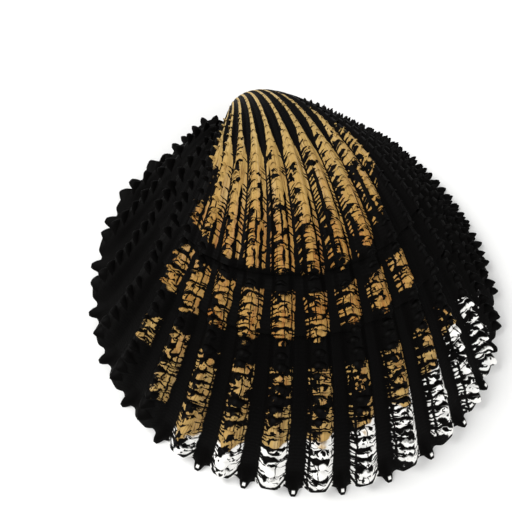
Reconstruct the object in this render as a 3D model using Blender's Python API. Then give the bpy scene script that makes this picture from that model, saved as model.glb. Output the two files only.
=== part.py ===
"""One valve of a prickly cockle, lying on its margin with the outside up.

Metres, +Z up. The margin lies in the plane z = 0, the beak points to +Y, the belly of the
valve to -Y, and the hinge runs along X. The origin is under the middle of the valve's box.
"""

import math

import bmesh
import bpy
from mathutils import Vector

# Driving dimensions of the valve, in metres and degrees
HALF_LENGTH = 0.0295       # half the valve's length along the hinge
WALL = 0.0036              # wall at the margin, from the top of a rib in
HINGE_PLATE = 0.0030       # extra wall at the hinge
RIB_HEIGHT = 0.0014        # rib over groove at the margin
TONGUE = 0.0024            # how far a groove's spout stands out at the margin
SPINE_MIDDLE = 0.0009      # scale on a rib of the middle
SPINE_FLANK = 0.0019       # scale on a rib of the flank
LEDGE = 0.00045            # step down at each growth stop

# The margin, a rounded outline about its own centre, in half lengths
MARGIN_CENTRE = (0.266, -0.904)
MARGIN_SKEW_2 = -0.040
MARGIN_SKEW_3 = -0.019
HINGE_TURN = math.radians(-4.2)
HINGE_ROUNDING = 0.22

# Growth: each older ring is the margin made smaller, turned up about the hinge and shifted
SPIRAL_RATE = 1.28
MARGIN_STEEPENING = 0.37
BEAK_SHIFT = 0.72
BEAK_NARROWING = 0.25
BEAK_SKEW = 0.26
BEAK_CLEARANCE = 0.04      # how far the beak stands up from the hinge
SHOULDER_PUSH = 0.19       # how far the back shoulder bulges over the hinge
SHOULDER_SIZES = (0.15, 0.60)      # where the shoulder starts and where it is full
SHOULDER_ALONG = (0.6, -0.4)
SHOULDER_NEAR = (0.0, -0.5)
SHOULDER_FAR = (-1.25, -0.44)
BEAK_SIZE = 0.06           # size of the last ring at the beak's tip
CAVITY_SIZE = 0.20         # size of the ring where the hollow under the beak ends
CAVITY_RINGS = 10
GROWTH_STOPS = ((0.637, 0.663), (0.737, 0.794))

# Ribs, counted from the middle one: positive to +X, negative to -X
FIRST_RIB = -10
LAST_RIB = 13
EVEN_RIB = 9               # from here on the front ribs are evenly spaced
MIDDLE_RIB_ANGLE = -86.7
RIB_PITCH_FRONT = 13.25
RIB_PITCH_FRONT_TAPER = 10.5
RIB_PITCH_BACK = 14.2
TOP_EDGE = 0.19            # edge of a rib's top and foot of its side, in parts of the pitch
SIDE_FOOT = 0.36
HINGE_COLUMNS = 5


def clear_scene():
    for thing in list(bpy.data.objects):
        bpy.data.objects.remove(thing, do_unlink=True)


def smooth(low, high, value):
    """0 below low, 1 above high, an S curve between."""
    t = min(1.0, max(0.0, (value - low) / (high - low)))
    return t * t * (3.0 - 2.0 * t)


def rib_angle(rib):
    """Angle on the margin, in radians, of a rib number, which may be a fraction."""
    if rib > 0:
        bent = min(rib, EVEN_RIB)
        turn = RIB_PITCH_FRONT * RIB_PITCH_FRONT_TAPER * math.tanh(bent / RIB_PITCH_FRONT_TAPER)
        turn += RIB_PITCH_FRONT * rib_width(EVEN_RIB) * (rib - bent)
    else:
        turn = RIB_PITCH_BACK * rib
    return math.radians(MIDDLE_RIB_ANGLE + turn)


def rib_width(rib):
    """Width of a rib against the widest ones."""
    if rib > 0:
        return 1.0 / math.cosh(min(rib, EVEN_RIB) / RIB_PITCH_FRONT_TAPER) ** 2
    return 1.0


def margin_point(angle):
    """A point of the margin in half lengths, along the hinge and across it."""
    radius = 1.0 + MARGIN_SKEW_2 * math.sin(2 * angle) + MARGIN_SKEW_3 * math.sin(3 * angle)
    x = MARGIN_CENTRE[0] + radius * math.cos(angle)
    y = MARGIN_CENTRE[1] + radius * math.sin(angle)
    along = x * math.cos(HINGE_TURN) + y * math.sin(HINGE_TURN)
    across = y * math.cos(HINGE_TURN) - x * math.sin(HINGE_TURN)
    across = (across - math.hypot(across, HINGE_ROUNDING)) / 2
    return along, across


def hinge_side(angle):
    """1 along the hinge and 0 from the first and the last rib on."""
    turn = math.remainder(angle - math.radians(88), 2 * math.pi)
    return smooth(math.radians(85), math.radians(40), abs(turn))


def ring_point(size, angle):
    """A point of the growth ring of this size."""
    along, across = margin_point(angle)
    turn = -math.log(size) / SPIRAL_RATE + MARGIN_STEEPENING * (1 - size ** 3)
    drift = size * (1 - size)
    x = size * along + drift * (BEAK_SHIFT - BEAK_NARROWING * along)
    y = size * across * math.cos(turn) + drift * BEAK_SKEW * along
    z = -size * across * math.sin(turn)
    shoulder = 4 * drift * smooth(*SHOULDER_ALONG, along) * smooth(*SHOULDER_SIZES, size)
    shoulder *= smooth(*SHOULDER_NEAR, across) * smooth(*SHOULDER_FAR, across)
    y += SHOULDER_PUSH * shoulder
    z += BEAK_CLEARANCE * (1 - size) ** 2
    cos_turn, sin_turn = math.cos(HINGE_TURN), math.sin(HINGE_TURN)
    return Vector((x * cos_turn - y * sin_turn, x * sin_turn + y * cos_turn, z)) * HALF_LENGTH


def growth_way(size, angle):
    """How far the ring moves at this angle for each unit of size."""
    older = max(size - 0.004, BEAK_SIZE * 0.9)
    newer = min(size + 0.004, 1.0)
    return (ring_point(newer, angle) - ring_point(older, angle)) / (newer - older)


def outward(size, angle):
    """Direction that relief is raised in: square to the valve, but level at the margin."""
    step = 0.004
    around = ring_point(size, angle + step) - ring_point(size, angle - step)
    normal = growth_way(size, angle).cross(around).normalized()
    level = Vector((normal.x, normal.y, 0.0))
    share = smooth(0.90, 0.98, size)
    if level.length > 1e-6:
        normal = normal.lerp(level.normalized(), share).normalized()
    return normal


def room(size, angle):
    """Less than 1 where the rings crowd together at the hinge and the beak has no room for relief."""
    spread = growth_way(size, angle).length / HALF_LENGTH
    return smooth(0.0, 0.22, -margin_point(angle)[1] * size) * smooth(0.1, 0.6, spread)


def ledge(size):
    """Height of the growth stops: each stretch of growth rises to a lip, then steps down."""
    start = BEAK_SIZE
    for lip, restart in GROWTH_STOPS:
        if size <= lip:
            return LEDGE * smooth(start + 0.4 * (lip - start), lip, size)
        if size < restart:
            return -LEDGE * 0.5
        start = restart
    return LEDGE * 0.4 * smooth(start, 1.0, size)


def rib_rise(size, rib, part):
    """Height over the groove floor at a place across the rib, -0.5 to 0.5."""
    side = smooth(SIDE_FOOT + 0.02, TOP_EDGE - 0.04, abs(part))
    return RIB_HEIGHT * size * rib_width(rib) * side


def outer_point(size, rib, part):
    """A point of the ribbed outside."""
    angle = rib_angle(rib + part)
    rise = rib_rise(size, rib, part) - RIB_HEIGHT * size * rib_width(rib) + ledge(size) * size
    if abs(part) == 0.5:
        rise += TONGUE * rib_width(rib) * smooth(0.985, 1.0, size)
    rise *= room(size, angle)
    return ring_point(size, angle) + outward(size, angle) * rise


def spine_point(newer, older, rib):
    """Tip of the scale between two rings: it leans over towards the margin."""
    size = 0.8 * newer + 0.2 * older
    tall = SPINE_MIDDLE + (SPINE_FLANK - SPINE_MIDDLE) * smooth(1.5, 6.0, abs(rib - 0.5))
    angle = rib_angle(rib)
    rise = (tall * rib_width(rib) + ledge(size)) * size * room(size, angle)
    return ring_point(size, angle) + outward(size, angle) * rise


def ring_sizes():
    """Sizes of the rings from the margin to the beak, close together at the growth stops."""
    (lip_1, restart_1), (lip_2, restart_2) = GROWTH_STOPS
    step = 0.004
    sizes = [1.0, 0.984]
    for start, end, rings in (
        (0.984, restart_2 + step, 6),
        (restart_2, lip_2 + step, 2),
        (lip_2, restart_1 + step, 3),
        (restart_1, lip_1 + step, 1),
        (lip_1, BEAK_SIZE, 11),
    ):
        if start != sizes[-1]:
            sizes.append(start)
        for i in range(1, rings + 1):
            sizes.append((start ** 0.7 + (end ** 0.7 - start ** 0.7) * i / rings) ** (1 / 0.7))
    return sizes


def columns():
    """Places around the margin: rib number and place across it, or None and an angle."""
    places = []
    for rib in range(FIRST_RIB, LAST_RIB + 1):
        for part in (-SIDE_FOOT, -TOP_EDGE, TOP_EDGE, SIDE_FOOT, 0.5):
            places.append((rib, part))
    first = rib_angle(LAST_RIB + 0.5)
    last = rib_angle(FIRST_RIB - 0.5) + 2 * math.pi
    for i in range(1, HINGE_COLUMNS + 1):
        places.append((None, first + (last - first) * i / (HINGE_COLUMNS + 1)))
    places.append((None, last))
    return places


def place_angle(place):
    rib, part = place
    return part if rib is None else rib_angle(rib + part)


def place_point(size, place):
    rib, part = place
    if rib is not None:
        return outer_point(size, rib, part)
    return ring_point(size, part)


def inner_point(size, place):
    """A point of the smooth inside: the growth surface drawn in; near the margin it has ribs too."""
    angle = place_angle(place)
    middle = Vector((MARGIN_CENTRE[0], MARGIN_CENTRE[1], 0.0)) * HALF_LENGTH
    wall = WALL + HINGE_PLATE * hinge_side(angle) * smooth(0.5, 1.0, size)
    point = middle + (ring_point(size, angle) - middle) * (1.0 - wall / HALF_LENGTH)
    rib, part = place
    if rib is not None:
        follow = 0.6 * smooth(0.86, 1.0, size) * room(size, angle)
        point += outward(size, angle) * rib_rise(size, rib, part) * follow
    return point


def add_rings(bm, sizes, places, point):
    return [[bm.verts.new(point(size, place)) for place in places] for size in sizes]


def fill_between(bm, newer, older, flip=False):
    """Quads between two rings of as many points; returns the faces in order."""
    count = len(newer)
    faces = []
    for i in range(count):
        corners = [newer[i], newer[(i + 1) % count], older[(i + 1) % count], older[i]]
        faces.append(bm.faces.new(corners[::-1] if flip else corners))
    return faces


def halve_between(bm, full, half):
    """Triangles from a ring to one inside it that has every other point."""
    count = len(half)
    for i in range(count):
        a, b, c = full[2 * i], full[2 * i + 1], full[(2 * i + 2) % len(full)]
        d, e = half[i], half[(i + 1) % count]
        for corners in ((a, d, b), (b, d, e), (b, e, c)):
            bm.faces.new(corners)


def close_ring(bm, ring, tip, flip=False):
    hub = bm.verts.new(tip)
    count = len(ring)
    for i in range(count):
        corners = [ring[i], ring[(i + 1) % count], hub]
        bm.faces.new(corners[::-1] if flip else corners)


def middle_of(ring):
    total = Vector((0.0, 0.0, 0.0))
    for vertex in ring:
        total += vertex.co
    return total / len(ring)


def add_spines(bm, faces_by_ring, sizes, places):
    """Raise a pyramid on each rib's top between each two rings."""
    for ring_index, faces in enumerate(faces_by_ring):
        newer, older = sizes[ring_index], sizes[ring_index + 1]
        if newer - older < 0.012 or older < 0.3:
            continue
        for i, (rib, part) in enumerate(places):
            if rib is None or part != -TOP_EDGE:
                continue
            poked = bmesh.ops.poke(bm, faces=[faces[i]])
            poked["verts"][0].co = spine_point(newer, older, rib)


def shell_material():
    material = bpy.data.materials.new("cockle shell")
    material.use_nodes = True
    surface = material.node_tree.nodes["Principled BSDF"]
    surface.inputs["Base Color"].default_value = (0.52, 0.33, 0.14, 1.0)
    surface.inputs["Roughness"].default_value = 0.55
    surface.inputs["Metallic"].default_value = 0.0
    return material


def build_shell():
    bm = bmesh.new()
    places = columns()
    sizes = ring_sizes()
    rings = add_rings(bm, sizes, places, place_point)
    for vertex in rings[0]:
        vertex.co.z = 0.0
    faces_by_ring = [fill_between(bm, rings[i], rings[i + 1]) for i in range(len(rings) - 1)]
    close_ring(bm, rings[-1], middle_of(rings[-1]))

    lip = add_rings(bm, [1.0], places, inner_point)[0]
    for vertex in lip:
        vertex.co.z = 0.0
    fill_between(bm, rings[0], lip, flip=True)
    step = (1.0 - CAVITY_SIZE) / CAVITY_RINGS
    inner_sizes = [1.0 - step * i for i in range(1, CAVITY_RINGS + 1)]
    inner_rings = add_rings(bm, inner_sizes, places[::2], inner_point)
    halve_between(bm, lip, inner_rings[0])
    for newer, older in zip(inner_rings, inner_rings[1:]):
        fill_between(bm, newer, older, flip=True)
    close_ring(bm, inner_rings[-1], middle_of(inner_rings[-1]), flip=True)

    add_spines(bm, faces_by_ring, sizes, places)
    bmesh.ops.triangulate(bm, faces=bm.faces[:])
    bmesh.ops.recalc_face_normals(bm, faces=bm.faces[:])

    low = Vector([min(v.co[axis] for v in bm.verts) for axis in range(3)])
    high = Vector([max(v.co[axis] for v in bm.verts) for axis in range(3)])
    middle = (low + high) / 2
    bmesh.ops.translate(bm, verts=bm.verts[:], vec=Vector((-middle.x, -middle.y, 0.0)))
    mesh = bpy.data.meshes.new("shell")
    bm.to_mesh(mesh)
    bm.free()
    mesh.materials.append(shell_material())
    shell = bpy.data.objects.new("shell", mesh)
    bpy.context.scene.collection.objects.link(shell)
    return shell


clear_scene()
build_shell()
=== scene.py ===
import math

import bpy
import numpy as np
from mathutils import Matrix, Vector


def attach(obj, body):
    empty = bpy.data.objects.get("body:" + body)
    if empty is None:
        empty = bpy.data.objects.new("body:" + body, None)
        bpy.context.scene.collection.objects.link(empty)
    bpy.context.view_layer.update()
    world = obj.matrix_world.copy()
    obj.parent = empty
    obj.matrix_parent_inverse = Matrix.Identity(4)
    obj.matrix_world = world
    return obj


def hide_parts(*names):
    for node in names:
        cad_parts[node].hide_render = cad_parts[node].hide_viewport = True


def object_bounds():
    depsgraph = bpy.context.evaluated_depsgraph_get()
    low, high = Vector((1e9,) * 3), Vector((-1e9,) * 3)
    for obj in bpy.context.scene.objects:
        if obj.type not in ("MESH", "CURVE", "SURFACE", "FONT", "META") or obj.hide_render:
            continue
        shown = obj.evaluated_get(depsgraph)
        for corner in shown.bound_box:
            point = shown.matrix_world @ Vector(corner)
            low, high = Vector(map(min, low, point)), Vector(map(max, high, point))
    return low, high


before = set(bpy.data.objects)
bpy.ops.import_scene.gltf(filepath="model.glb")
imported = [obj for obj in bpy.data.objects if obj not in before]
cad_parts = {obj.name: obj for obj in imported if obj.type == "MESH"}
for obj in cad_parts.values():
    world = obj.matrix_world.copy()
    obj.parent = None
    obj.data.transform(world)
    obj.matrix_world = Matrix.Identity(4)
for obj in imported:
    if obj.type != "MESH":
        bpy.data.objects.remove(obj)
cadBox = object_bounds()
print("frame loaded:", sorted(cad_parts))

# The valve's growth surface, the same numbers as in the part's source. Lengths in metres,
# the rest in half lengths of the valve, parts of its size (margin 1, beak 0) and degrees.
form = {
    "halfLength": 0.0295,
    "ribHeight": 0.0014,
    "spout": 0.0024,
    "ledge": 0.00045,
    "wall": 0.0036,
    "hingePlate": 0.0030,
    "scaleMiddle": 0.0009,
    "scaleFlank": 0.0019,
    "marginCentre": (0.266, -0.904),
    "marginSkew": (-0.040, -0.019),
    "hingeTurn": -4.2,
    "hingeRounding": 0.22,
    "spiralRate": 1.28,
    "steepening": 0.37,
    "beakShift": 0.72,
    "beakNarrowing": 0.25,
    "beakSkew": 0.26,
    "beakClearance": 0.04,
    "shoulderPush": 0.19,
    "shoulderSizes": (0.15, 0.60),
    "shoulderAlong": (0.6, -0.4),
    "shoulderNear": (0.0, -0.5),
    "shoulderFar": (-1.25, -0.44),
    "beakSize": 0.06,
    "cavitySize": 0.20,
    "growthStops": ((0.637, 0.663), (0.737, 0.794)),
    "firstRib": -10,
    "lastRib": 13,
    "evenRib": 9,
    "middleRib": -86.7,
    "pitchFront": 13.25,
    "pitchTaper": 10.5,
    "pitchBack": 14.2,
    # the middle of the valve's box, from the middle of its hinge
    "boxMiddle": (0.007707, -0.026879),
}


def smooth(low, high, value):
    t = np.clip((value - low) / (high - low), 0.0, 1.0)
    return t * t * (3.0 - 2.0 * t)


def ribWidth(rib):
    front = 1.0 / np.cosh(np.clip(rib, 0, form["evenRib"]) / form["pitchTaper"]) ** 2
    return np.where(rib > 0, front, 1.0)


def ribAngle(rib):
    bent = np.clip(rib, 0, form["evenRib"])
    turn = form["pitchFront"] * form["pitchTaper"] * np.tanh(bent / form["pitchTaper"])
    turn = turn + form["pitchFront"] * ribWidth(np.array(form["evenRib"])) * (np.maximum(rib, bent) - bent)
    return np.radians(form["middleRib"] + np.where(rib > 0, turn, form["pitchBack"] * rib))


def turned(x, y):
    turn = math.radians(form["hingeTurn"])
    return x * math.cos(turn) - y * math.sin(turn), x * math.sin(turn) + y * math.cos(turn)


def marginPoint(angle):
    skew2, skew3 = form["marginSkew"]
    radius = 1.0 + skew2 * np.sin(2 * angle) + skew3 * np.sin(3 * angle)
    x = form["marginCentre"][0] + radius * np.cos(angle)
    y = form["marginCentre"][1] + radius * np.sin(angle)
    turn = math.radians(form["hingeTurn"])
    along = x * math.cos(turn) + y * math.sin(turn)
    across = y * math.cos(turn) - x * math.sin(turn)
    return along, (across - np.hypot(across, form["hingeRounding"])) / 2


def ringPoint(size, angle):
    # a growth ring: the margin made smaller, turned up about the hinge and shifted
    along, across = marginPoint(angle)
    turn = -np.log(size) / form["spiralRate"] + form["steepening"] * (1 - size ** 3)
    drift = size * (1 - size)
    x = size * along + drift * (form["beakShift"] - form["beakNarrowing"] * along)
    y = size * across * np.cos(turn) + drift * form["beakSkew"] * along
    z = -size * across * np.sin(turn)
    shoulder = 4 * drift * smooth(*form["shoulderAlong"], along) * smooth(*form["shoulderSizes"], size)
    shoulder = shoulder * smooth(*form["shoulderNear"], across) * smooth(*form["shoulderFar"], across)
    y = y + form["shoulderPush"] * shoulder
    z = z + form["beakClearance"] * (1 - size) ** 2
    x, y = turned(x, y)
    return np.stack([x, y, z], -1) * form["halfLength"]


def growthWay(size, angle):
    older = np.maximum(size - 0.004, form["beakSize"] * 0.9)
    newer = np.minimum(size + 0.004, 1.0)
    return (ringPoint(newer, angle) - ringPoint(older, angle)) / (newer - older)[..., None]


def unit(vectors):
    return vectors / np.maximum(np.linalg.norm(vectors, axis=-1, keepdims=True), 1e-12)


def outward(size, angle):
    # square to the valve, but level at the margin
    around = ringPoint(size, angle + 0.004) - ringPoint(size, angle - 0.004)
    normal = unit(np.cross(growthWay(size, angle), around))
    level = unit(normal * np.array([1.0, 1.0, 0.0]))
    share = smooth(0.90, 0.98, size)[..., None]
    return unit(normal * (1 - share) + level * share)


def room(size, angle):
    # less than 1 where the rings crowd together at the hinge
    spread = np.linalg.norm(growthWay(size, angle), axis=-1) / form["halfLength"]
    return smooth(0.0, 0.22, -marginPoint(angle)[1] * size) * smooth(0.1, 0.6, spread)


def ledgeHeight(size):
    (lip1, restart1), (lip2, restart2) = form["growthStops"]
    start, height = form["beakSize"], form["ledge"]
    first = height * smooth(start + 0.4 * (lip1 - start), lip1, size)
    second = height * smooth(restart1 + 0.4 * (lip2 - restart1), lip2, size)
    last = 0.4 * height * smooth(restart2, 1.0, size)
    low = -0.5 * height
    return np.select(
        [size <= lip1, size < restart1, size <= lip2, size < restart2],
        [first, low, second, low],
        last,
    )


# Rows of scales: places along each rib, from near the margin to the beak's shoulder
rows = {
    "newest": 0.968,
    "oldest": 0.25,
    "stepMiddle": 0.00185,
    "stepFlank": 0.00235,
    "unevenness": 0.16,
    "seed": 11,
}


def flankShare(rib):
    return smooth(1.5, 6.0, np.abs(rib - 0.5))


def scaleSizes(rib):
    # sizes of the growth rings that bear this rib's scales, newest first
    random = np.random.default_rng(rows["seed"] * 100 + rib + 50)
    angle = ribAngle(np.array(float(rib)))
    step = rows["stepMiddle"] + (rows["stepFlank"] - rows["stepMiddle"]) * float(flankShare(rib))
    if rib > 3:
        step *= 1.0 - 0.3 * float(smooth(3, 8, rib))
    sizes = [rows["newest"] + random.uniform(-0.008, 0.008)]
    while sizes[-1] > rows["oldest"]:
        size = np.array(sizes[-1])
        way = float(np.linalg.norm(growthWay(size, angle)))
        uneven = 1.0 + random.uniform(-rows["unevenness"], rows["unevenness"])
        sizes.append(sizes[-1] - step * uneven * sizes[-1] ** 0.35 / way)
    return sizes


scalesOfRib = {rib: scaleSizes(rib) for rib in range(form["firstRib"], form["lastRib"] + 1)}


def scaleCount(rib, size):
    # counts the scales passed from the beak, so it is whole at each scale's root
    known = scalesOfRib[rib][::-1]
    step = known[-1] - known[-2]
    ends = [form["beakSize"] - 1.0] + known + [known[-1] + step]
    first = (known[0] - ends[0]) / (known[1] - known[0])
    counts = [-first] + list(range(len(known) + 1))
    return np.interp(size, ends, counts)


# The shell's body. Heights and thicknesses in metres, places in parts of the rib pitch.
body = {
    "columnsPerRib": 26,
    # odd, so that the columns pair up at the lip
    "hingeColumns": 41,
    "cavityRows": 46,
    "keel": 0.00010,
    "keelHalfWidth": 0.035,
    "lamella": 0.00011,
    "lamellaBend": 0.35,
    "crownDrop": 0.9,
    "spoutRise": 0.42,
    "spoutRoot": (0.24, 0.43),
    "spoutNeck": (0.38, 0.455),
    "spoutSizes": (0.976, 0.996),
    "hingeMiddle": 88.0,
    "hingeReach": (85.0, 40.0),
    "ribsInside": 0.6,
    "boxGap": 0.00001,
}


def ribRise(size, part):
    near = np.abs(part)
    shape = smooth(0.41, 0.13, near) * (1.0 - body["crownDrop"] * near ** 2)
    return form["ribHeight"] * size * shape


def outerRise(size, rib, part, count):
    # how far the outside stands off the growth surface: ribs, ledges, keels, lamellae and spouts
    width = ribWidth(rib)
    near = np.abs(part)
    rise = (ribRise(size, part) - form["ribHeight"] * size) * width + ledgeHeight(size) * size
    middle = smooth(0.40, 0.20, near) * size * width * smooth(0.99, 0.97, size)
    keel = body["keel"] * np.exp(-(near / body["keelHalfWidth"]) ** 2)
    rise = rise + keel * middle * smooth(0.35, 0.5, size)
    worn = count - body["lamellaBend"] * (near / 0.3) ** 2
    rise = rise + body["lamella"] * (worn - np.floor(worn) - 0.5) * middle
    spout = body["spoutRise"] * (smooth(*body["spoutRoot"], near) + smooth(*body["spoutNeck"], near))
    return rise + form["spout"] * width * spout * smooth(*body["spoutSizes"], size)


def rowSizes():
    # growth sizes of the body's rows: close together at the margin and at each ledge
    (lip1, restart1), (lip2, restart2) = form["growthStops"]
    crisp = 0.0022
    sizes = [np.array([1.0, 0.9985, 0.9965, 0.994, 0.991])]
    for start, end, count, power in (
        (0.9875, restart2 + crisp, 33, 1.0),
        (restart2, lip2 + crisp, 8, 1.0),
        (lip2, restart1 + crisp, 12, 1.0),
        (restart1, lip1 + crisp, 4, 1.0),
        (lip1, form["beakSize"], 58, 0.75),
    ):
        sizes.append(np.linspace(start ** power, end ** power, count) ** (1 / power))
    return np.concatenate(sizes)


def columnPlaces():
    # rib number, place across the rib and angle of each column, from the first rib round to the hinge
    ribs = np.arange(form["firstRib"], form["lastRib"] + 1)
    parts = (np.arange(body["columnsPerRib"]) + 1.0) / body["columnsPerRib"] - 0.5
    rib = np.repeat(ribs, len(parts)).astype(float)
    part = np.tile(parts, len(ribs))
    angle = ribAngle(rib + part)
    first = ribAngle(np.array(form["lastRib"] + 0.5))
    last = ribAngle(np.array(form["firstRib"] - 0.5)) + 2 * math.pi
    hinge = np.linspace(first, last, body["hingeColumns"] + 2)[1:]
    return rib, part, angle, hinge


def gridQuads(rowCount, columnCount, start, flip=False):
    row = np.arange(rowCount - 1)[:, None] * columnCount
    column = np.arange(columnCount)[None, :]
    after = (column + 1) % columnCount
    corners = np.stack([row + column, row + after, row + columnCount + after, row + columnCount + column], -1)
    corners = corners.reshape(-1, 4) + start
    return corners[:, ::-1] if flip else corners


def fan(ring, hub, flip=False):
    after = np.roll(ring, -1)
    corners = np.stack([ring, after, np.full_like(ring, hub)], -1)
    return corners[:, ::-1] if flip else corners


def addFloats(mesh, name, values):
    attribute = mesh.attributes.new(name, "FLOAT", "POINT")
    attribute.data.foreach_set("value", np.asarray(values, np.float32))


def makeMesh(name, points, faces, floats):
    # moves the points to the box's own middle and keeps them inside the solid's box
    points = points - np.array([*form["boxMiddle"], 0.0])
    low, high = (np.array(corner)[:2] for corner in cadBox)
    points[:, :2] = np.clip(points[:, :2], low + body["boxGap"], high - body["boxGap"])
    mesh = bpy.data.meshes.new(name)
    mesh.from_pydata(points.tolist(), [], [face.tolist() for group in faces for face in group])
    for label, values in floats.items():
        addFloats(mesh, label, values)
    mesh.shade_smooth()
    thing = bpy.data.objects.new(name, mesh)
    bpy.context.scene.collection.objects.link(thing)
    return thing


def outsidePoints(grid, around, rib, part, count):
    # only the ribbed columns stand off the growth surface; the lip lies on the floor
    points = ringPoint(grid, around)
    ribbed = (slice(None), slice(len(rib)))
    rise = outerRise(grid[ribbed], rib[None, :], part[None, :], count)
    rise = rise * room(grid, around)[ribbed]
    points[ribbed] += outward(grid, around)[ribbed] * rise[..., None]
    points[0, :, 2] = 0.0
    points[:, :, 2] = np.maximum(points[:, :, 2], 0.0)
    return points


def insidePoints(sizes, angle, rib, part):
    # the growth surface drawn in towards the middle, with a thicker plate at the hinge
    middle = np.array([*form["marginCentre"], 0.0]) * form["halfLength"]
    turn = np.remainder(angle - math.radians(body["hingeMiddle"]) + math.pi, 2 * math.pi) - math.pi
    far, close = body["hingeReach"]
    hingeSide = smooth(math.radians(far), math.radians(close), np.abs(turn))
    grid, around = np.meshgrid(sizes, angle, indexing="ij")
    wall = form["wall"] + form["hingePlate"] * hingeSide * smooth(0.5, 1.0, grid)
    inside = middle + (ringPoint(grid, around) - middle) * (1 - wall / form["halfLength"])[..., None]
    follow = body["ribsInside"] * smooth(0.86, 1.0, grid) * room(grid, around)
    lift = ribRise(grid, part[None, :]) * ribWidth(rib)[None, :] * follow
    return inside + outward(grid, around) * lift[..., None]


def bodyFaces(rowCount, columnCount, innerRows):
    # the outside and its beak, then the lip and the inside; also how many are outside
    half = columnCount // 2
    beakHub = rowCount * columnCount
    lipStart = beakHub + 1
    innerStart = lipStart + columnCount
    cavityHub = innerStart + innerRows * half
    ring = np.arange(columnCount)
    after = np.roll(ring, -1)
    outer = [gridQuads(rowCount, columnCount, 0), fan(ring + (rowCount - 1) * columnCount, beakHub)]
    lip = np.stack([after, ring, ring + lipStart, after + lipStart], -1)
    pair = np.arange(half)
    a, b, c = lipStart + 2 * pair, lipStart + 2 * pair + 1, lipStart + (2 * pair + 2) % columnCount
    d, e = innerStart + pair, innerStart + (pair + 1) % half
    inside = [
        lip,
        np.stack([a, d, b], -1),
        np.stack([b, d, e], -1),
        np.stack([b, e, c], -1),
        gridQuads(innerRows, half, innerStart, flip=True),
        fan(pair + innerStart + (innerRows - 1) * half, cavityHub, flip=True),
    ]
    return outer + inside, sum(len(group) for group in outer)


def makeBody():
    rib, part, angle, hinge = columnPlaces()
    sizes = rowSizes()
    everyAngle = np.concatenate([angle, hinge])
    grid, around = np.meshgrid(sizes, everyAngle, indexing="ij")
    count = np.stack([scaleCount(int(r), sizes) for r in rib[:: body["columnsPerRib"]]], 1)
    count = np.repeat(count, body["columnsPerRib"], axis=1)
    outer = outsidePoints(grid, around, rib, part, count)

    # the inside has half as many columns as the lip
    ribs = np.concatenate([rib, np.zeros(len(hinge))])
    parts = np.concatenate([part, np.full(len(hinge), 0.5)])
    lip = insidePoints(np.array([1.0]), everyAngle, ribs, parts)
    lip[..., 2] = 0.0
    innerSizes = np.linspace(1.0, form["cavitySize"], body["cavityRows"])[1:]
    inner = insidePoints(innerSizes, everyAngle[::2], ribs[::2], parts[::2])
    hubs = outer[-1].mean(0), inner[-1].mean(0)
    points = np.concatenate([outer.reshape(-1, 3), hubs[:1], lip[0], inner.reshape(-1, 3), hubs[1:]])
    faces, outerFaces = bodyFaces(len(sizes), len(everyAngle), len(inner))

    pastRibs = np.linspace(form["lastRib"] + 0.5, form["lastRib"] + 4.0, len(hinge))
    place = np.concatenate([rib + part, pastRibs])
    count = np.concatenate([count, np.zeros((len(sizes), len(hinge)))], 1)
    innerPlace = np.concatenate([place, np.tile(place[::2], len(inner)), [0.0]])
    innerGrowth = np.repeat(innerSizes, inner.shape[1])
    growth = [grid.reshape(-1), sizes[-1:], np.ones(len(place)), innerGrowth, innerSizes[-1:]]
    floats = {
        "ribPlace": np.concatenate([np.tile(place, len(sizes)), [0.0], innerPlace]),
        "growth": np.concatenate(growth),
        "scaleCount": np.concatenate([count.reshape(-1), np.zeros(1 + len(innerPlace))]),
    }
    shell = makeMesh("shell_body", points, faces, floats)
    shell.data.materials.append(outsideMaterial)
    shell.data.materials.append(insideMaterial)
    slots = np.zeros(len(shell.data.polygons), np.int32)
    slots[outerFaces:] = 1
    shell.data.polygons.foreach_set("material_index", slots)
    shell.data.set_sharp_from_angle(angle=math.radians(70))
    return shell


# One scale: a thin hood that stands on a rib and opens towards the margin. Pairs are for the
# middle ribs and for the flanks.
scale = {
    "across": 9,
    "up": 6,
    "halfWidth": (0.27, 0.24),
    "widthSpread": 0.25,
    "lean": (1.15, 0.55),
    "leanSpread": (0.75, 1.2),
    "sideways": 0.05,
    "rootBend": 0.0007,
    "thickness": 0.00022,
    "buried": 0.00018,
    "leastHeight": 0.00012,
    "narrowing": 0.30,
    "heightSpread": 0.22,
    "wearSizes": (0.25, 0.45, 0.63, 0.70, 0.85),
    "wearHeights": (0.15, 0.22, 0.45, 0.65, 1.0),
    "rubbed": 0.45,
    "newestRoot": 0.995,
    "seed": 5,
}


def everyScale():
    # rib number, growth size and count of each scale
    places = []
    for rib, known in scalesOfRib.items():
        for index, size in enumerate(known[:-1]):
            places.append((float(rib), size, float(len(known) - 1 - index)))
    return np.array(places).T


def column(values):
    return values[:, None, None]


def between(pair, flank):
    return pair[0] + (pair[1] - pair[0]) * flank


def scaleHeights(ribs, sizes, flank):
    # lower where the older middle part is worn and where the left flank is rubbed
    tall = between((form["scaleMiddle"], form["scaleFlank"]), flank) * ribWidth(ribs)
    worn = np.interp(sizes, scale["wearSizes"], scale["wearHeights"])
    tall = tall * sizes * room(sizes, ribAngle(ribs)) * (worn + (1 - worn) * flank)
    return tall * (1 - scale["rubbed"] * smooth(-3, -6, ribs) * smooth(0.66, 0.80, sizes))


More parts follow.
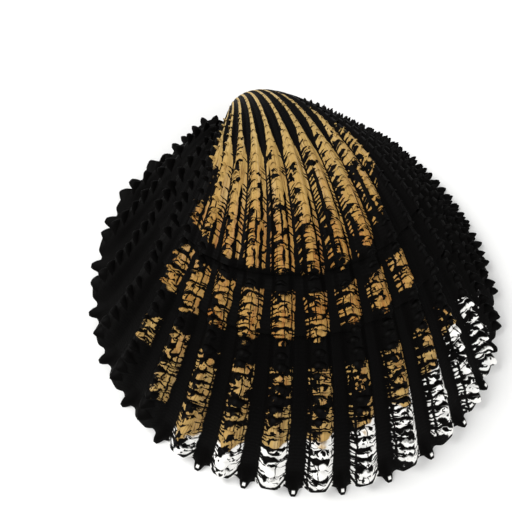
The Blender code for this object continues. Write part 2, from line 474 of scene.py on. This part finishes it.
def scaleFaces(total):
    # a closed sheet for each scale: the back, the mouth side and the rim between them
    across, rise = scale["across"], scale["up"]
    sheet = across * rise
    grid = np.arange(sheet).reshape(rise, across)
    front = np.stack([grid[:-1, :-1], grid[:-1, 1:], grid[1:, 1:], grid[1:, :-1]], -1).reshape(-1, 4)
    rim = np.concatenate([grid[0, :-1], grid[:-1, -1], grid[-1, :0:-1], grid[:0:-1, 0]])
    nextRim = np.roll(rim, -1)
    strip = np.stack([nextRim, rim, rim + sheet, nextRim + sheet], -1)
    one = np.concatenate([front[:, ::-1], front + sheet, strip[:, ::-1]])
    return (one[None] + (np.arange(total) * 2 * sheet)[:, None, None]).reshape(-1, 4)


def makeScales():
    random = np.random.default_rng(scale["seed"])
    ribs, sizes, counts = everyScale()
    total = len(ribs)
    flank = flankShare(ribs)
    width = ribWidth(ribs)
    tall = scaleHeights(ribs, sizes, flank)
    tall = tall * (1 - scale["heightSpread"] * random.random(total)) + scale["leastHeight"]
    halfWidth = between(scale["halfWidth"], flank) * (1 - scale["widthSpread"] * random.random(total))
    lean = between(scale["lean"], flank) * random.uniform(*scale["leanSpread"], total)
    sideways = random.uniform(-scale["sideways"], scale["sideways"], total)

    # u runs across a scale, v from its root to its edge
    u = np.linspace(-1, 1, scale["across"])[None, None, :]
    v = np.linspace(0, 1, scale["up"])[None, :, None]
    way = np.linalg.norm(growthWay(sizes, ribAngle(ribs)), axis=-1)
    part = column(sideways) + u * column(halfWidth) * (1 - scale["narrowing"] * v)
    root = column(sizes) + column(scale["rootBend"] * width / way) * u ** 2
    size = np.minimum(root + 0 * v, scale["newestRoot"])
    angle = ribAngle(column(ribs) + part)
    away = outward(size, angle)
    ahead = unit(growthWay(size, angle))
    ground = outerRise(size, column(ribs), part, column(counts)) * room(size, angle)
    pointed = 1.0 + 0.5 * column(1 - flank)
    crest = 0.10 + 0.90 * np.maximum(1 - np.abs(u) ** (1.5 * pointed), 0.0) ** 0.75
    up = column(tall) * crest * np.sin(v * math.pi / 2 * 0.92)
    forward = column(tall * lean) * crest * v ** 1.8
    base = ground - scale["buried"] * (1 - v)
    outer = ringPoint(size, angle) + away * (base + up)[..., None] + ahead * forward[..., None]
    thick = scale["thickness"] * (1 - 0.6 * v) * (1 - 0.45 * np.abs(u)) * column(0.5 + 0.5 * width)
    inner = outer + (ahead * 0.9 - away * 0.35 * v[..., None]) * thick[..., None]

    shape = (total, scale["up"], scale["across"])
    sides = {
        "ribPlace": (column(ribs) + part,) * 2,
        "growth": (size,) * 2,
        "scaleCount": (column(counts) + 0.10 + 0.25 * v,) * 2,
        "scaleHeight": (v,) * 2,
        "scaleMouth": (0.0, 1.0),
    }
    floats = {}
    for name, values in sides.items():
        floats[name] = np.stack([np.broadcast_to(value, shape) for value in values], 1).reshape(-1)
    points = np.stack([outer, inner], 1).reshape(-1, 3)
    scales = makeMesh("shell_scales", points, [scaleFaces(total)], floats)
    scales.data.materials.append(scaleMaterial)
    scales.data.set_sharp_from_angle(angle=math.radians(60))
    print("scales:", total)
    return scales


# Finish of the shell. Colours are linear. Growth size is 0 at the beak and 1 at the margin, and
# a place is a rib number with a part of the pitch added.
paint = {
    # the ribs' ground colour from the beak to the margin, at growth sizes
    "ground": (
        (0.30, (0.440, 0.310, 0.115)),
        (0.46, (0.415, 0.265, 0.082)),
        (0.60, (0.405, 0.228, 0.060)),
        (0.70, (0.405, 0.230, 0.063)),
        (0.85, (0.450, 0.292, 0.100)),
    ),
    "orange": (0.330, 0.120, 0.022),
    "pale": (0.560, 0.430, 0.220),
    "brown": (0.075, 0.024, 0.008),
    "cream": (0.990, 0.980, 0.945),
    # near-black of the painted shade and shadows and of the dark lines
    "paintedShadeAndLines": (0.0012, 0.0010, 0.0009),
    "inside": (0.800, 0.740, 0.630),
    "insideDeep": (0.620, 0.440, 0.280),
    "shine": 0.04,
    # bumps to a metre of the coarse, medium and fine noise
    "noiseSizes": (260.0, 900.0, 2600.0),
    # share of orange, at growth sizes
    "orangeShare": ((0.0, 0.05), (0.42, 0.08), (0.52, 0.35), (0.61, 0.75), (0.66, 0.35), (0.72, 0.95),
                    (0.80, 0.55), (0.88, 0.25), (1.0, 0.0)),
    # growth size where the tan turns to cream, at places
    "creamFrom": ((-3.6, 0.965), (-3.0, 0.952), (-2.0, 0.935), (-1.0, 0.914), (0.0, 0.902), (1.0, 0.890),
                  (2.0, 0.872), (3.0, 0.860), (3.5, 0.852), (4.0, 0.828), (5.0, 0.80), (8.0, 0.79)),
}

# The dark parts: painted shade in the grooves, on the flanks, over the growth steps and under the scales,
# painted highlights in flecks and spout tips, and dark lines, blots and outlines
paintedShadeAndLines = {
    # edges of the lit middle of the shell, past which the flanks carry painted shade, as places at growth
    # sizes
    "leftShadeEdge": ((0.0, -4.0), (0.20, -5.0), (0.26, -5.7), (0.36, -5.5), (0.43, -5.2), (0.46, -4.5),
                 (0.52, -4.6), (0.56, -5.0), (0.62, -4.8), (0.70, -5.1), (0.78, -5.1), (0.84, -5.2),
                 (0.87, -5.0), (0.885, -4.1), (0.92, -3.9), (0.94, -3.4), (1.0, -3.3)),
    "rightShadeEdge": ((0.0, 1.6), (0.25, 2.0), (0.30, 2.7), (0.35, 3.5), (0.41, 4.0), (0.47, 4.1),
                  (0.52, 3.8), (0.57, 3.1), (0.60, 2.5), (0.63, 2.0), (0.66, 3.3), (0.73, 3.6),
                  (0.78, 3.6), (0.82, 4.4), (0.84, 5.1), (0.87, 5.5), (1.0, 5.6)),
    "allPlaces": (-11.0, 8.0),
    # half width of the painted shade in a groove, in parts of the rib pitch, at growth sizes
    "grooveShadeWidth": ((0.0, 0.31), (0.24, 0.35), (0.29, 0.38), (0.34, 0.34), (0.38, 0.23), (0.415, 0.07),
                    (0.45, 0.030), (0.54, 0.052), (0.61, 0.08), (0.67, 0.12), (0.72, 0.16), (0.79, 0.20),
                    (1.0, 0.20)),
    # the painted shade over the growth steps: older and newer edge of each band, as growth sizes at places
    "bands": (
        (((-6.0, 0.590), (-4.5, 0.603), (-3.0, 0.617), (-1.4, 0.633), (0.2, 0.639), (1.4, 0.632),
          (2.6, 0.606), (4.5, 0.590)),
         ((-6.0, 0.646), (-4.0, 0.654), (-1.5, 0.668), (0.5, 0.672), (1.6, 0.669), (2.8, 0.660),
          (4.5, 0.655))),
        (((-6.0, 0.757), (-4.5, 0.752), (-2.0, 0.745), (-0.2, 0.742), (0.9, 0.724), (2.0, 0.722),
          (3.0, 0.716), (4.5, 0.730)),
         ((-6.0, 0.835), (-5.0, 0.828), (-4.4, 0.794), (-2.0, 0.790), (1.5, 0.790), (3.6, 0.786),
          (4.5, 0.806))),
    ),
    # how much of the ribs carries the painted scale shadows, lines and blots, at growth sizes
    "markShare": ((0.0, 0.10), (0.35, 0.24), (0.42, 0.50), (0.50, 0.92), (0.60, 0.84), (0.66, 1.0),
                  (0.74, 1.0), (0.79, 1.0), (0.86, 1.0), (0.90, 0.90), (0.95, 0.66), (1.0, 0.58)),
    # how much the strokes lean, in scales for each rib from the middle, and how much they sag
    "slant": 0.30,
    "sag": 0.30,
    # where the strokes begin, in parts of the pitch left and right of a rib's middle
    "strokeRoots": (0.33, 0.35),
    # painted shadow strokes for each scale: how many, shift, half thickness, shortest and longest in parts of
    # the pitch, how often, the edge they start at, and a number that sets them apart
    "strokes": ((2.6, 0.10, 0.32, 0.18, 0.70, 1.05, "left", 1.0),
                (1.0, 0.42, 0.26, 0.40, 1.10, 0.85, "left", 2.0),
                (2.6, 0.60, 0.28, 0.10, 0.42, 0.66, "right", 3.0),
                (1.3, 0.86, 0.20, 0.40, 1.20, 0.30, "left", 4.0)),
    # lines along the ribs: place, half width, how often, oldest growth size and a number
    "lines": ((-0.27, 0.080, 0.95, 0.45, 7.0), (0.02, 0.060, 0.55, 0.50, 8.0),
              (0.27, 0.060, 0.62, 0.45, 9.0)),
    # an old growth line full of blots: its growth size, middle place and half length
    "oldLine": (0.846, -0.6, 2.9),
    # outlines of the ribs' ends: growth size, half width, and how much of each is left out
    "ends": ((0.9995, 0.0050, -1.0), (0.986, 0.0024, -0.10), (0.974, 0.0018, 0.02)),
    # the painted highlight in the tip of each spout: its growth sizes, and the places that have one
    "highlightSizes": (0.9905, 0.9950),
    "highlightPlaces": (1.0, 4.2),
}


class Nodes:
    # short ways to place shader nodes in one tree
    def __init__(self, tree):
        self.tree = tree

    def make(self, kind, **settings):
        node = self.tree.nodes.new(kind)
        for name, value in settings.items():
            setattr(node, name, value)
        return node

    def put(self, socket, value):
        if isinstance(value, bpy.types.NodeSocket):
            self.tree.links.new(value, socket)
        else:
            socket.default_value = value

    def math(self, operation, *values, clamp=False):
        # values are sockets or numbers
        node = self.make("ShaderNodeMath", operation=operation, use_clamp=clamp)
        for socket, value in zip(node.inputs, values):
            self.put(socket, value)
        return node.outputs[0]

    def step(self, value, low, high):
        # rises smoothly from 0 at low to 1 at high
        node = self.make("ShaderNodeMapRange", interpolation_type="SMOOTHSTEP")
        for name, given in (("Value", value), ("From Min", low), ("From Max", high)):
            self.put(node.inputs[name], given)
        return node.outputs[0]

    def curve(self, value, points, low, high):
        # reads a curve of points; the values lie between low and high
        firstX, lastX = points[0][0], points[-1][0]
        across = self.math("DIVIDE", self.math("SUBTRACT", value, firstX), lastX - firstX, clamp=True)
        node = self.make("ShaderNodeFloatCurve")
        line = node.mapping.curves[0]
        while len(line.points) < len(points):
            line.points.new(0.5, 0.5)
        for spot, (x, y) in zip(line.points, points):
            spot.location = ((x - firstX) / (lastX - firstX), (y - low) / (high - low))
            spot.handle_type = "VECTOR"
        node.mapping.update()
        self.put(node.inputs["Value"], across)
        return self.math("MULTIPLY_ADD", node.outputs[0], high - low, low)

    def noise(self, vector, size, detail=2.0):
        # soft noise about zero
        node = self.make("ShaderNodeTexNoise")
        self.put(node.inputs["Vector"], vector)
        node.inputs["Scale"].default_value = size
        node.inputs["Detail"].default_value = detail
        return self.math("SUBTRACT", node.outputs["Fac"], 0.5)

    def chance(self, vector):
        # an even random number from 0 to 1
        node = self.make("ShaderNodeTexWhiteNoise", noise_dimensions="3D")
        self.put(node.inputs["Vector"], vector)
        return node.outputs["Value"]

    def join(self, x, y, z=0.0):
        node = self.make("ShaderNodeCombineXYZ")
        for socket, value in zip(node.inputs, (x, y, z)):
            self.put(socket, value)
        return node.outputs[0]

    def mix(self, share, low, high):
        node = self.make("ShaderNodeMix", data_type="RGBA")
        self.put(node.inputs["Factor"], share)
        for name, value in (("A", low), ("B", high)):
            socket = [s for s in node.inputs if s.name == name and s.type == "RGBA"][0]
            self.put(socket, value if isinstance(value, bpy.types.NodeSocket) else (*value, 1.0))
        return [s for s in node.outputs if s.type == "RGBA"][0]

    def most(self, first, *others):
        for other in others:
            first = self.math("MAXIMUM", first, other)
        return first


class Spot:
    # what the pattern knows about one point of the outside
    def __init__(self, n, place, growth, count, position):
        self.place, self.growth, self.count = place, growth, count
        self.coarse, self.medium, self.fine = (n.noise(position, size) for size in paint["noiseSizes"])
        self.ragged = n.math("MULTIPLY_ADD", self.fine, 0.5, self.medium)
        self.number = n.math("ROUND", place)
        self.part = n.math("SUBTRACT", place, self.number)
        self.near = n.math("ABSOLUTE", self.part)
        self.share = n.curve(growth, paintedShadeAndLines["markShare"], 0.0, 1.0)
        self.perRib = n.noise(n.join(n.math("MULTIPLY", place, 2.6), 4.0), 1.0)
        self.hair = n.noise(
            n.join(n.math("MULTIPLY", place, 15.0), n.math("MULTIPLY", growth, 9.0), 3.0), 1.0, 1.0
        )


def paintedGrooveShade(n, spot):
    # painted shade: the grooves between the ribs are near-black
    half = n.curve(spot.growth, paintedShadeAndLines["grooveShadeWidth"], 0.0, 0.5)
    fromGroove = n.math("SUBTRACT", 0.5, spot.near)
    fromGroove = n.math("MULTIPLY_ADD", spot.ragged, 0.11, fromGroove)
    return n.step(n.math("SUBTRACT", half, fromGroove), -0.012, 0.012)


def paintedBandShade(n, spot):
    # painted shade in two broad rings over the growth steps
    wavy = n.math("MULTIPLY_ADD", spot.perRib, 0.018, spot.growth)
    wavy = n.math("MULTIPLY_ADD", spot.ragged, 0.018, wavy)
    bands = []
    for older, newer in paintedShadeAndLines["bands"]:
        above = n.math("SUBTRACT", wavy, n.curve(spot.place, older, 0.5, 0.9))
        below = n.math("SUBTRACT", n.curve(spot.place, newer, 0.5, 0.9), wavy)
        bands.append(n.math("MULTIPLY", n.step(above, -0.002, 0.002), n.step(below, -0.002, 0.002)))
    return n.most(*bands)


def paintedFlankShade(n, spot):
    # painted shade: both flanks are dark, with a few light flecks that are painted highlights on the spines
    swing = n.math("MULTIPLY_ADD", spot.coarse, 0.9, spot.place)
    swing = n.math("ADD", spot.ragged, swing)
    left = n.math("SUBTRACT", n.curve(spot.growth, paintedShadeAndLines["leftShadeEdge"], *paintedShadeAndLines["allPlaces"]), swing)
    right = n.math("SUBTRACT", swing, n.curve(spot.growth, paintedShadeAndLines["rightShadeEdge"], *paintedShadeAndLines["allPlaces"]))
    flank = n.step(n.math("MAXIMUM", left, right), -0.06, 0.06)
    paintedFleckHighlight = n.math("MULTIPLY", n.step(spot.coarse, 0.19, 0.22), n.step(spot.medium, 0.02, 0.06))
    return n.math("SUBTRACT", flank, paintedFleckHighlight, clamp=True)


def paintedScaleShadows(n, spot):
    # painted shadows at the scales: strokes that start at one edge of a rib, taper and lean outwards
    lean = n.math("MULTIPLY", n.math("ADD", spot.number, 0.5), paintedShadeAndLines["slant"])
    lean = n.math("MULTIPLY", lean, spot.part)
    sag = n.math("MULTIPLY", n.math("POWER", n.math("DIVIDE", spot.near, 0.3), 2.0), paintedShadeAndLines["sag"])
    worn = n.math("SUBTRACT", n.math("SUBTRACT", spot.count, lean), sag)
    worn = n.math("MULTIPLY_ADD", spot.medium, 0.55, worn)
    leftRoot, rightRoot = paintedShadeAndLines["strokeRoots"]
    begins = {
        "left": n.math("ADD", spot.part, leftRoot),
        "right": n.math("SUBTRACT", rightRoot, spot.part),
    }
    newer = n.math("MULTIPLY_ADD", n.step(spot.growth, 0.50, 0.62), 0.5, 0.5)
    strokes = []
    for times, shift, thick, shortest, longest, often, edge, salt in paintedShadeAndLines["strokes"]:
        along = n.math("MULTIPLY_ADD", worn, times, shift)
        cell = n.math("FLOOR", along)
        through = n.math("ABSOLUTE", n.math("SUBTRACT", n.math("SUBTRACT", along, cell), 0.5))
        length = n.chance(n.join(spot.number, cell, salt + 10.0))
        length = n.math("MULTIPLY_ADD", length, longest - shortest, shortest)
        length = n.math("MULTIPLY", length, newer)
        taper = n.math("SUBTRACT", 1.0, n.math("DIVIDE", begins[edge], length), clamp=True)
        wide = n.math("MULTIPLY_ADD", n.math("POWER", taper, 0.6), thick, -0.04)
        wide = n.math("MULTIPLY_ADD", spot.medium, 0.25, wide)
        stroke = n.step(n.math("SUBTRACT", wide, through), -0.03, 0.03)
        luck = n.chance(n.join(spot.number, cell, salt))
        shows = n.math("LESS_THAN", luck, n.math("MULTIPLY", spot.share, often))
        inside = n.math("GREATER_THAN", taper, 0.02)
        strokes.append(n.math("MULTIPLY", n.math("MULTIPLY", stroke, shows), inside))
    return n.most(*strokes)


def inkLines(n, spot):
    # broken lines along the ribs: at their left edges, down the middle and at their right edges
    wander = n.math("MULTIPLY_ADD", spot.medium, 0.12, spot.part)
    older = n.math("MULTIPLY_ADD", n.step(spot.growth, 0.68, 0.63), 0.55, 0.45)
    lines = []
    for where, width, often, oldest, salt in paintedShadeAndLines["lines"]:
        moved = n.math("MULTIPLY_ADD", n.chance(n.join(spot.number, salt)), 0.16, where - 0.08)
        across = n.math("ABSOLUTE", n.math("SUBTRACT", wander, moved))
        pieces = n.noise(n.join(spot.number, n.math("MULTIPLY", spot.growth, 26.0), salt), 1.0, 1.0)
        pieces = n.math("ADD", pieces, n.math("MULTIPLY_ADD", spot.share, often, -0.42))
        begun = n.math("MULTIPLY_ADD", n.chance(n.join(spot.number, salt + 20.0)), -0.14, spot.growth)
        begun = n.step(begun, oldest - 0.03, oldest)
        wide = n.math("MULTIPLY", n.math("MULTIPLY", n.step(pieces, -0.10, 0.12), begun), width)
        wide = n.math("MULTIPLY", wide, older)
        wide = n.math("MULTIPLY_ADD", spot.fine, 0.03, wide)
        lines.append(n.step(n.math("SUBTRACT", wide, across), 0.004, 0.016))
    return n.most(*lines)


def inkBlots(n, spot):
    # thick just past the second band and on an old growth line
    size, middle, half = paintedShadeAndLines["oldLine"]
    fromLine = n.math("SUBTRACT", n.math("MULTIPLY_ADD", spot.perRib, 0.03, spot.growth), size)
    oldLine = n.step(n.math("ABSOLUTE", fromLine), 0.013, 0.004)
    fromMiddle = n.math("ABSOLUTE", n.math("SUBTRACT", spot.place, middle))
    oldLine = n.math("MULTIPLY", oldLine, n.step(fromMiddle, half, half - 1.3))
    crowd = n.math("MULTIPLY", n.step(spot.growth, 0.88, 0.81), n.step(spot.growth, 0.74, 0.79))
    level = n.math("MULTIPLY_ADD", spot.share, -0.16, 0.245)
    level = n.math("MULTIPLY_ADD", crowd, -0.07, level)
    level = n.math("MULTIPLY_ADD", oldLine, -0.20, level)
    blot = n.math("MULTIPLY_ADD", spot.coarse, 0.55, spot.medium)
    blot = n.math("MULTIPLY_ADD", spot.part, -0.16, blot)
    return n.step(n.math("SUBTRACT", blot, level), -0.012, 0.012)


def inkEnds(n, spot):
    # outlines round the ribs' ends at the margin
    bow = n.math("POWER", n.math("DIVIDE", spot.near, 0.32), 2.0)
    curved = n.math("MULTIPLY_ADD", bow, 0.016, spot.growth)
    curved = n.math("MULTIPLY_ADD", spot.fine, 0.003, curved)
    rings = []
    for size, width, gaps in paintedShadeAndLines["ends"]:
        ring = n.step(n.math("ABSOLUTE", n.math("SUBTRACT", curved, size)), width, width * 0.6)
        rings.append(n.math("MULTIPLY", ring, n.math("GREATER_THAN", spot.medium, gaps)))
    return n.most(*rings)


def paintedSpoutHighlights(n, spot):
    # a painted highlight: a pale spot in the tip of each spout, inside its dark outline
    low, high = paintedShadeAndLines["highlightSizes"]
    middle, half = paintedShadeAndLines["highlightPlaces"]
    tip = n.math("MULTIPLY", n.step(spot.near, 0.462, 0.476), n.step(spot.growth, low, low + 0.0013))
    tip = n.math("MULTIPLY", tip, n.step(spot.growth, high, high - 0.0012))
    fromMiddle = n.math("ABSOLUTE", n.math("SUBTRACT", spot.place, middle))
    return n.math("MULTIPLY", tip, n.step(fromMiddle, half, half - 0.2))


def lightColor(n, spot):
    # the shell's own colours: tan with pale and orange streaks, then cream, and brown hairlines; and painted
    # shade along the bottoms of the grooves
    base = paint["ground"][0][1]
    for (low, _), (high, color) in zip(paint["ground"], paint["ground"][1:]):
        base = n.mix(n.step(spot.growth, low, high), base, color)
    streak = n.join(n.math("MULTIPLY", spot.place, 9.0), n.math("MULTIPLY", spot.growth, 7.0))
    streak = n.noise(streak, 1.0, 3.0)
    base = n.mix(n.math("MULTIPLY", n.step(streak, 0.0, 0.20), 0.55), base, paint["pale"])
    patches = n.step(n.math("MULTIPLY_ADD", spot.coarse, 0.8, streak), -0.10, 0.16)
    warm = n.math("MULTIPLY", n.curve(spot.growth, paint["orangeShare"], 0.0, 1.0), patches)
    inGroove = n.math("MULTIPLY", n.step(spot.near, 0.34, 0.42), n.step(spot.growth, 0.60, 0.68))
    base = n.mix(n.math("MAXIMUM", warm, inGroove), base, paint["orange"])

    creamFrom = n.curve(spot.place, paint["creamFrom"], 0.7, 1.0)
    past = n.math("SUBTRACT", n.math("MULTIPLY_ADD", spot.medium, 0.010, spot.growth), creamFrom)
    cream = n.step(past, -0.003, 0.003)
    base = n.mix(cream, base, paint["cream"])
    hairLines = n.step(n.math("ABSOLUTE", spot.hair), 0.030, 0.008)
    hairLines = n.math("MULTIPLY", hairLines, n.math("MULTIPLY_ADD", cream, -0.55, 0.58))
    base = n.mix(hairLines, base, paint["brown"])
    # painted shade: brown along the bottoms of the grooves, weaker in the cream
    paintedGrooveBottomShade = n.math("MULTIPLY", n.step(spot.near, 0.44, 0.48), n.math("MULTIPLY_ADD", cream, -0.8, 0.8))
    return n.mix(paintedGrooveBottomShade, base, paint["brown"])


def makePattern():
    # colour, dark mask and fine relief of the outside, shared by the body and its scales
    tree = bpy.data.node_groups.new("shellPattern", "ShaderNodeTree")
    for name, kind in (("Rib Place", "NodeSocketFloat"), ("Growth", "NodeSocketFloat"),
                       ("Scale Count", "NodeSocketFloat"), ("Position", "NodeSocketVector")):
        tree.interface.new_socket(name, in_out="INPUT", socket_type=kind)
    for name, kind in (("Color", "NodeSocketColor"), ("Dark", "NodeSocketFloat"),
                       ("Height", "NodeSocketFloat")):
        tree.interface.new_socket(name, in_out="OUTPUT", socket_type=kind)
    n = Nodes(tree)
    spot = Spot(n, *n.make("NodeGroupInput").outputs[:4])

    # the dark mask: painted shade and shadows with dark lines, blots and outlines, less the painted
    # highlights in the spout tips
    parts = (paintedGrooveShade, paintedFlankShade, paintedScaleShadows, inkLines, inkBlots, inkEnds, paintedBandShade)
    dark = n.most(*(part(n, spot) for part in parts))
    dark = n.math("SUBTRACT", dark, paintedSpoutHighlights(n, spot), clamp=True)
    color = n.mix(dark, lightColor(n, spot), paint["paintedShadeAndLines"])

    # fine relief: hairlines, grain and the youngest growth rings
    height = n.math("MULTIPLY_ADD", spot.hair, 0.5, n.math("MULTIPLY", spot.fine, 0.6))
    rings = n.math("SINE", n.math("MULTIPLY", spot.growth, 900.0))
    height = n.math("MULTIPLY_ADD", rings, 0.10, height)
    out = n.make("NodeGroupOutput").inputs
    n.put(out["Color"], color)
    n.put(out["Dark"], dark)
    n.put(out["Height"], height)
    return tree


def readFloat(n, name):
    return n.make("ShaderNodeAttribute", attribute_type="GEOMETRY", attribute_name=name).outputs["Fac"]


def placedPattern(n):
    group = n.make("ShaderNodeGroup", node_tree=pattern)
    for name, label in (("Rib Place", "ribPlace"), ("Growth", "growth"), ("Scale Count", "scaleCount")):
        n.put(group.inputs[name], readFloat(n, label))
    n.put(group.inputs["Position"], n.make("ShaderNodeTexCoord").outputs["Object"])
    return group


def startMaterial(name):
    material = bpy.data.materials.new(name)
    material.use_nodes = True
    return material, Nodes(material.node_tree), material.node_tree.nodes["Principled BSDF"]


def addBump(n, surface, height, strength, distance):
    bump = n.make("ShaderNodeBump")
    bump.inputs["Strength"].default_value = strength
    bump.inputs["Distance"].default_value = distance
    n.put(bump.inputs["Height"], height)
    n.put(surface.inputs["Normal"], bump.outputs["Normal"])


def makeOutside():
    material, n, surface = startMaterial("shell_outside")
    group = placedPattern(n)
    n.put(surface.inputs["Base Color"], group.outputs["Color"])
    n.put(surface.inputs["Roughness"], n.math("MULTIPLY_ADD", group.outputs["Dark"], 0.16, 0.46))
    surface.inputs["Specular IOR Level"].default_value = paint["shine"]
    addBump(n, surface, group.outputs["Height"], 0.55, 0.00010)
    return material


def makeScaleFinish():
    # the mouth side of a scale is dark, partly dark brown colour and partly painted shade, and lighter
    # towards its edge
    material, n, surface = startMaterial("shell_scale")
    group = placedPattern(n)
    shade = n.math("MULTIPLY", readFloat(n, "scaleMouth"), n.step(readFloat(n, "scaleHeight"), 1.0, 0.3))
    color = n.mix(n.math("MULTIPLY", shade, 0.85), group.outputs["Color"], paint["paintedShadeAndLines"])
    n.put(surface.inputs["Base Color"], color)
    n.put(surface.inputs["Roughness"], n.math("MULTIPLY_ADD", group.outputs["Dark"], 0.12, 0.44))
    surface.inputs["Specular IOR Level"].default_value = paint["shine"]
    addBump(n, surface, group.outputs["Height"], 0.4, 0.00006)
    return material


def makeInside():
    # pale and smooth, warmer in the deep part, with brown stains at the lip between the ribs
    material, n, surface = startMaterial("shell_inside")
    growth, place = readFloat(n, "growth"), readFloat(n, "ribPlace")
    where = n.make("ShaderNodeTexCoord").outputs["Object"]
    cloud = n.noise(where, 120.0, 3.0)
    deep = n.math("MULTIPLY_ADD", cloud, 0.5, n.step(growth, 0.75, 0.25))
    color = n.mix(n.math("MULTIPLY", deep, 0.55, clamp=True), paint["inside"], paint["insideDeep"])
    edge = n.step(n.math("MULTIPLY_ADD", cloud, 0.02, growth), 0.955, 0.995)
    near = n.math("ABSOLUTE", n.math("SUBTRACT", place, n.math("ROUND", place)))
    stain = n.math("MULTIPLY", edge, n.step(near, 0.30, 0.46))
    color = n.mix(n.math("MULTIPLY", stain, 0.75), color, paint["brown"])
    n.put(surface.inputs["Base Color"], color)
    n.put(surface.inputs["Roughness"], n.math("MULTIPLY_ADD", edge, 0.22, 0.26))
    rings = n.math("SINE", n.math("MULTIPLY", growth, 260.0))
    height = n.math("MULTIPLY_ADD", rings, 0.12, n.noise(where, 1800.0))
    addBump(n, surface, height, 0.25, 0.00008)
    return material


pattern = makePattern()
outsideMaterial = makeOutside()
scaleMaterial = makeScaleFinish()
insideMaterial = makeInside()
print("finishes made")

shellBody = makeBody()
shellScales = makeScales()
for piece in (shellBody, shellScales):
    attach(piece, "root")
    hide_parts("shell")
    print(piece.name, len(piece.data.polygons), "faces")

# Floor, light and camera. The camera's lengths are in half lengths of the valve, its angles in
# degrees, and the picture's in pixels.
studio = {
    "floorSize": 3.0,
    "floorColor": (0.86, 0.86, 0.85),
    "floorGap": 0.00002,
    # place, size and power of each lamp
    "key": ((-0.28, 0.22, 0.42), 0.25, 2.6),
    "fill": ((0.35, -0.25, 0.30), 0.40, 0.9),
    "worldLight": 0.62,
    "elevation": 78.0,
    "azimuth": -4.43,
    "distance": 5.5,
    "lookAt": (0.273, -0.924, 0.15),
    "frameOffset": (-0.1792, 0.1688),
    "imageScale": 202.97,
    "imageWidth": 512.0,
}


def makeFloor():
    mesh = bpy.data.meshes.new("floor")
    half = studio["floorSize"] / 2
    corners = [(-half, -half, 0), (half, -half, 0), (half, half, 0), (-half, half, 0)]
    mesh.from_pydata(corners, [], [(0, 1, 2, 3)])
    floor = bpy.data.objects.new("floor", mesh)
    bpy.context.scene.collection.objects.link(floor)
    material, _, surface = startMaterial("floor_paper")
    surface.inputs["Base Color"].default_value = (*studio["floorColor"], 1.0)
    surface.inputs["Roughness"].default_value = 0.9
    surface.inputs["Specular IOR Level"].default_value = 0.1
    mesh.materials.append(material)
    floor.location.z = -studio["floorGap"]


def addArea(name, place, size, power):
    light = bpy.data.lights.new(name, "AREA")
    light.size = size
    light.energy = power
    thing = bpy.data.objects.new(name, light)
    thing.location = place
    thing.rotation_euler = (-Vector(place)).to_track_quat("-Z", "Y").to_euler()
    bpy.context.scene.collection.objects.link(thing)


def makeCamera():
    turn, rise = math.radians(studio["azimuth"]), math.radians(studio["elevation"])
    right = Vector((math.cos(turn), math.sin(turn), 0))
    ahead = Vector((-math.sin(turn) * math.cos(rise), math.cos(turn) * math.cos(rise), -math.sin(rise)))
    up = right.cross(ahead)
    unitLength = form["halfLength"]
    middle = Vector((*form["boxMiddle"], 0.0))
    target = Vector(studio["lookAt"]) * unitLength - middle
    place = target - ahead * studio["distance"] * unitLength
    aim = target + (right * studio["frameOffset"][0] + up * studio["frameOffset"][1]) * unitLength
    lens = bpy.data.cameras.new("camera")
    lens.sensor_width = 36.0
    lens.lens = lens.sensor_width * studio["imageScale"] * studio["distance"] / studio["imageWidth"]
    lens.clip_start = 0.005
    camera = bpy.data.objects.new("camera", lens)
    camera.location = place
    # the camera looks at a point beside the target, so that the valve sits off the middle
    back = (place - aim).normalized()
    side = up.cross(back).normalized()
    high = back.cross(side)
    camera.rotation_euler = Matrix((side, high, back)).transposed().to_euler()
    bpy.context.scene.collection.objects.link(camera)
    bpy.context.scene.camera = camera


def makeWorld():
    world = bpy.data.worlds.new("studio")
    world.use_nodes = True
    sky = world.node_tree.nodes["Background"]
    sky.inputs["Color"].default_value = (1.0, 1.0, 1.0, 1.0)
    sky.inputs["Strength"].default_value = studio["worldLight"]
    bpy.context.scene.world = world
    bpy.context.scene.view_settings.view_transform = "Standard"


makeFloor()
for lamp in ("key", "fill"):
    addArea(lamp, *studio[lamp])
makeWorld()
makeCamera()
print("studio made")
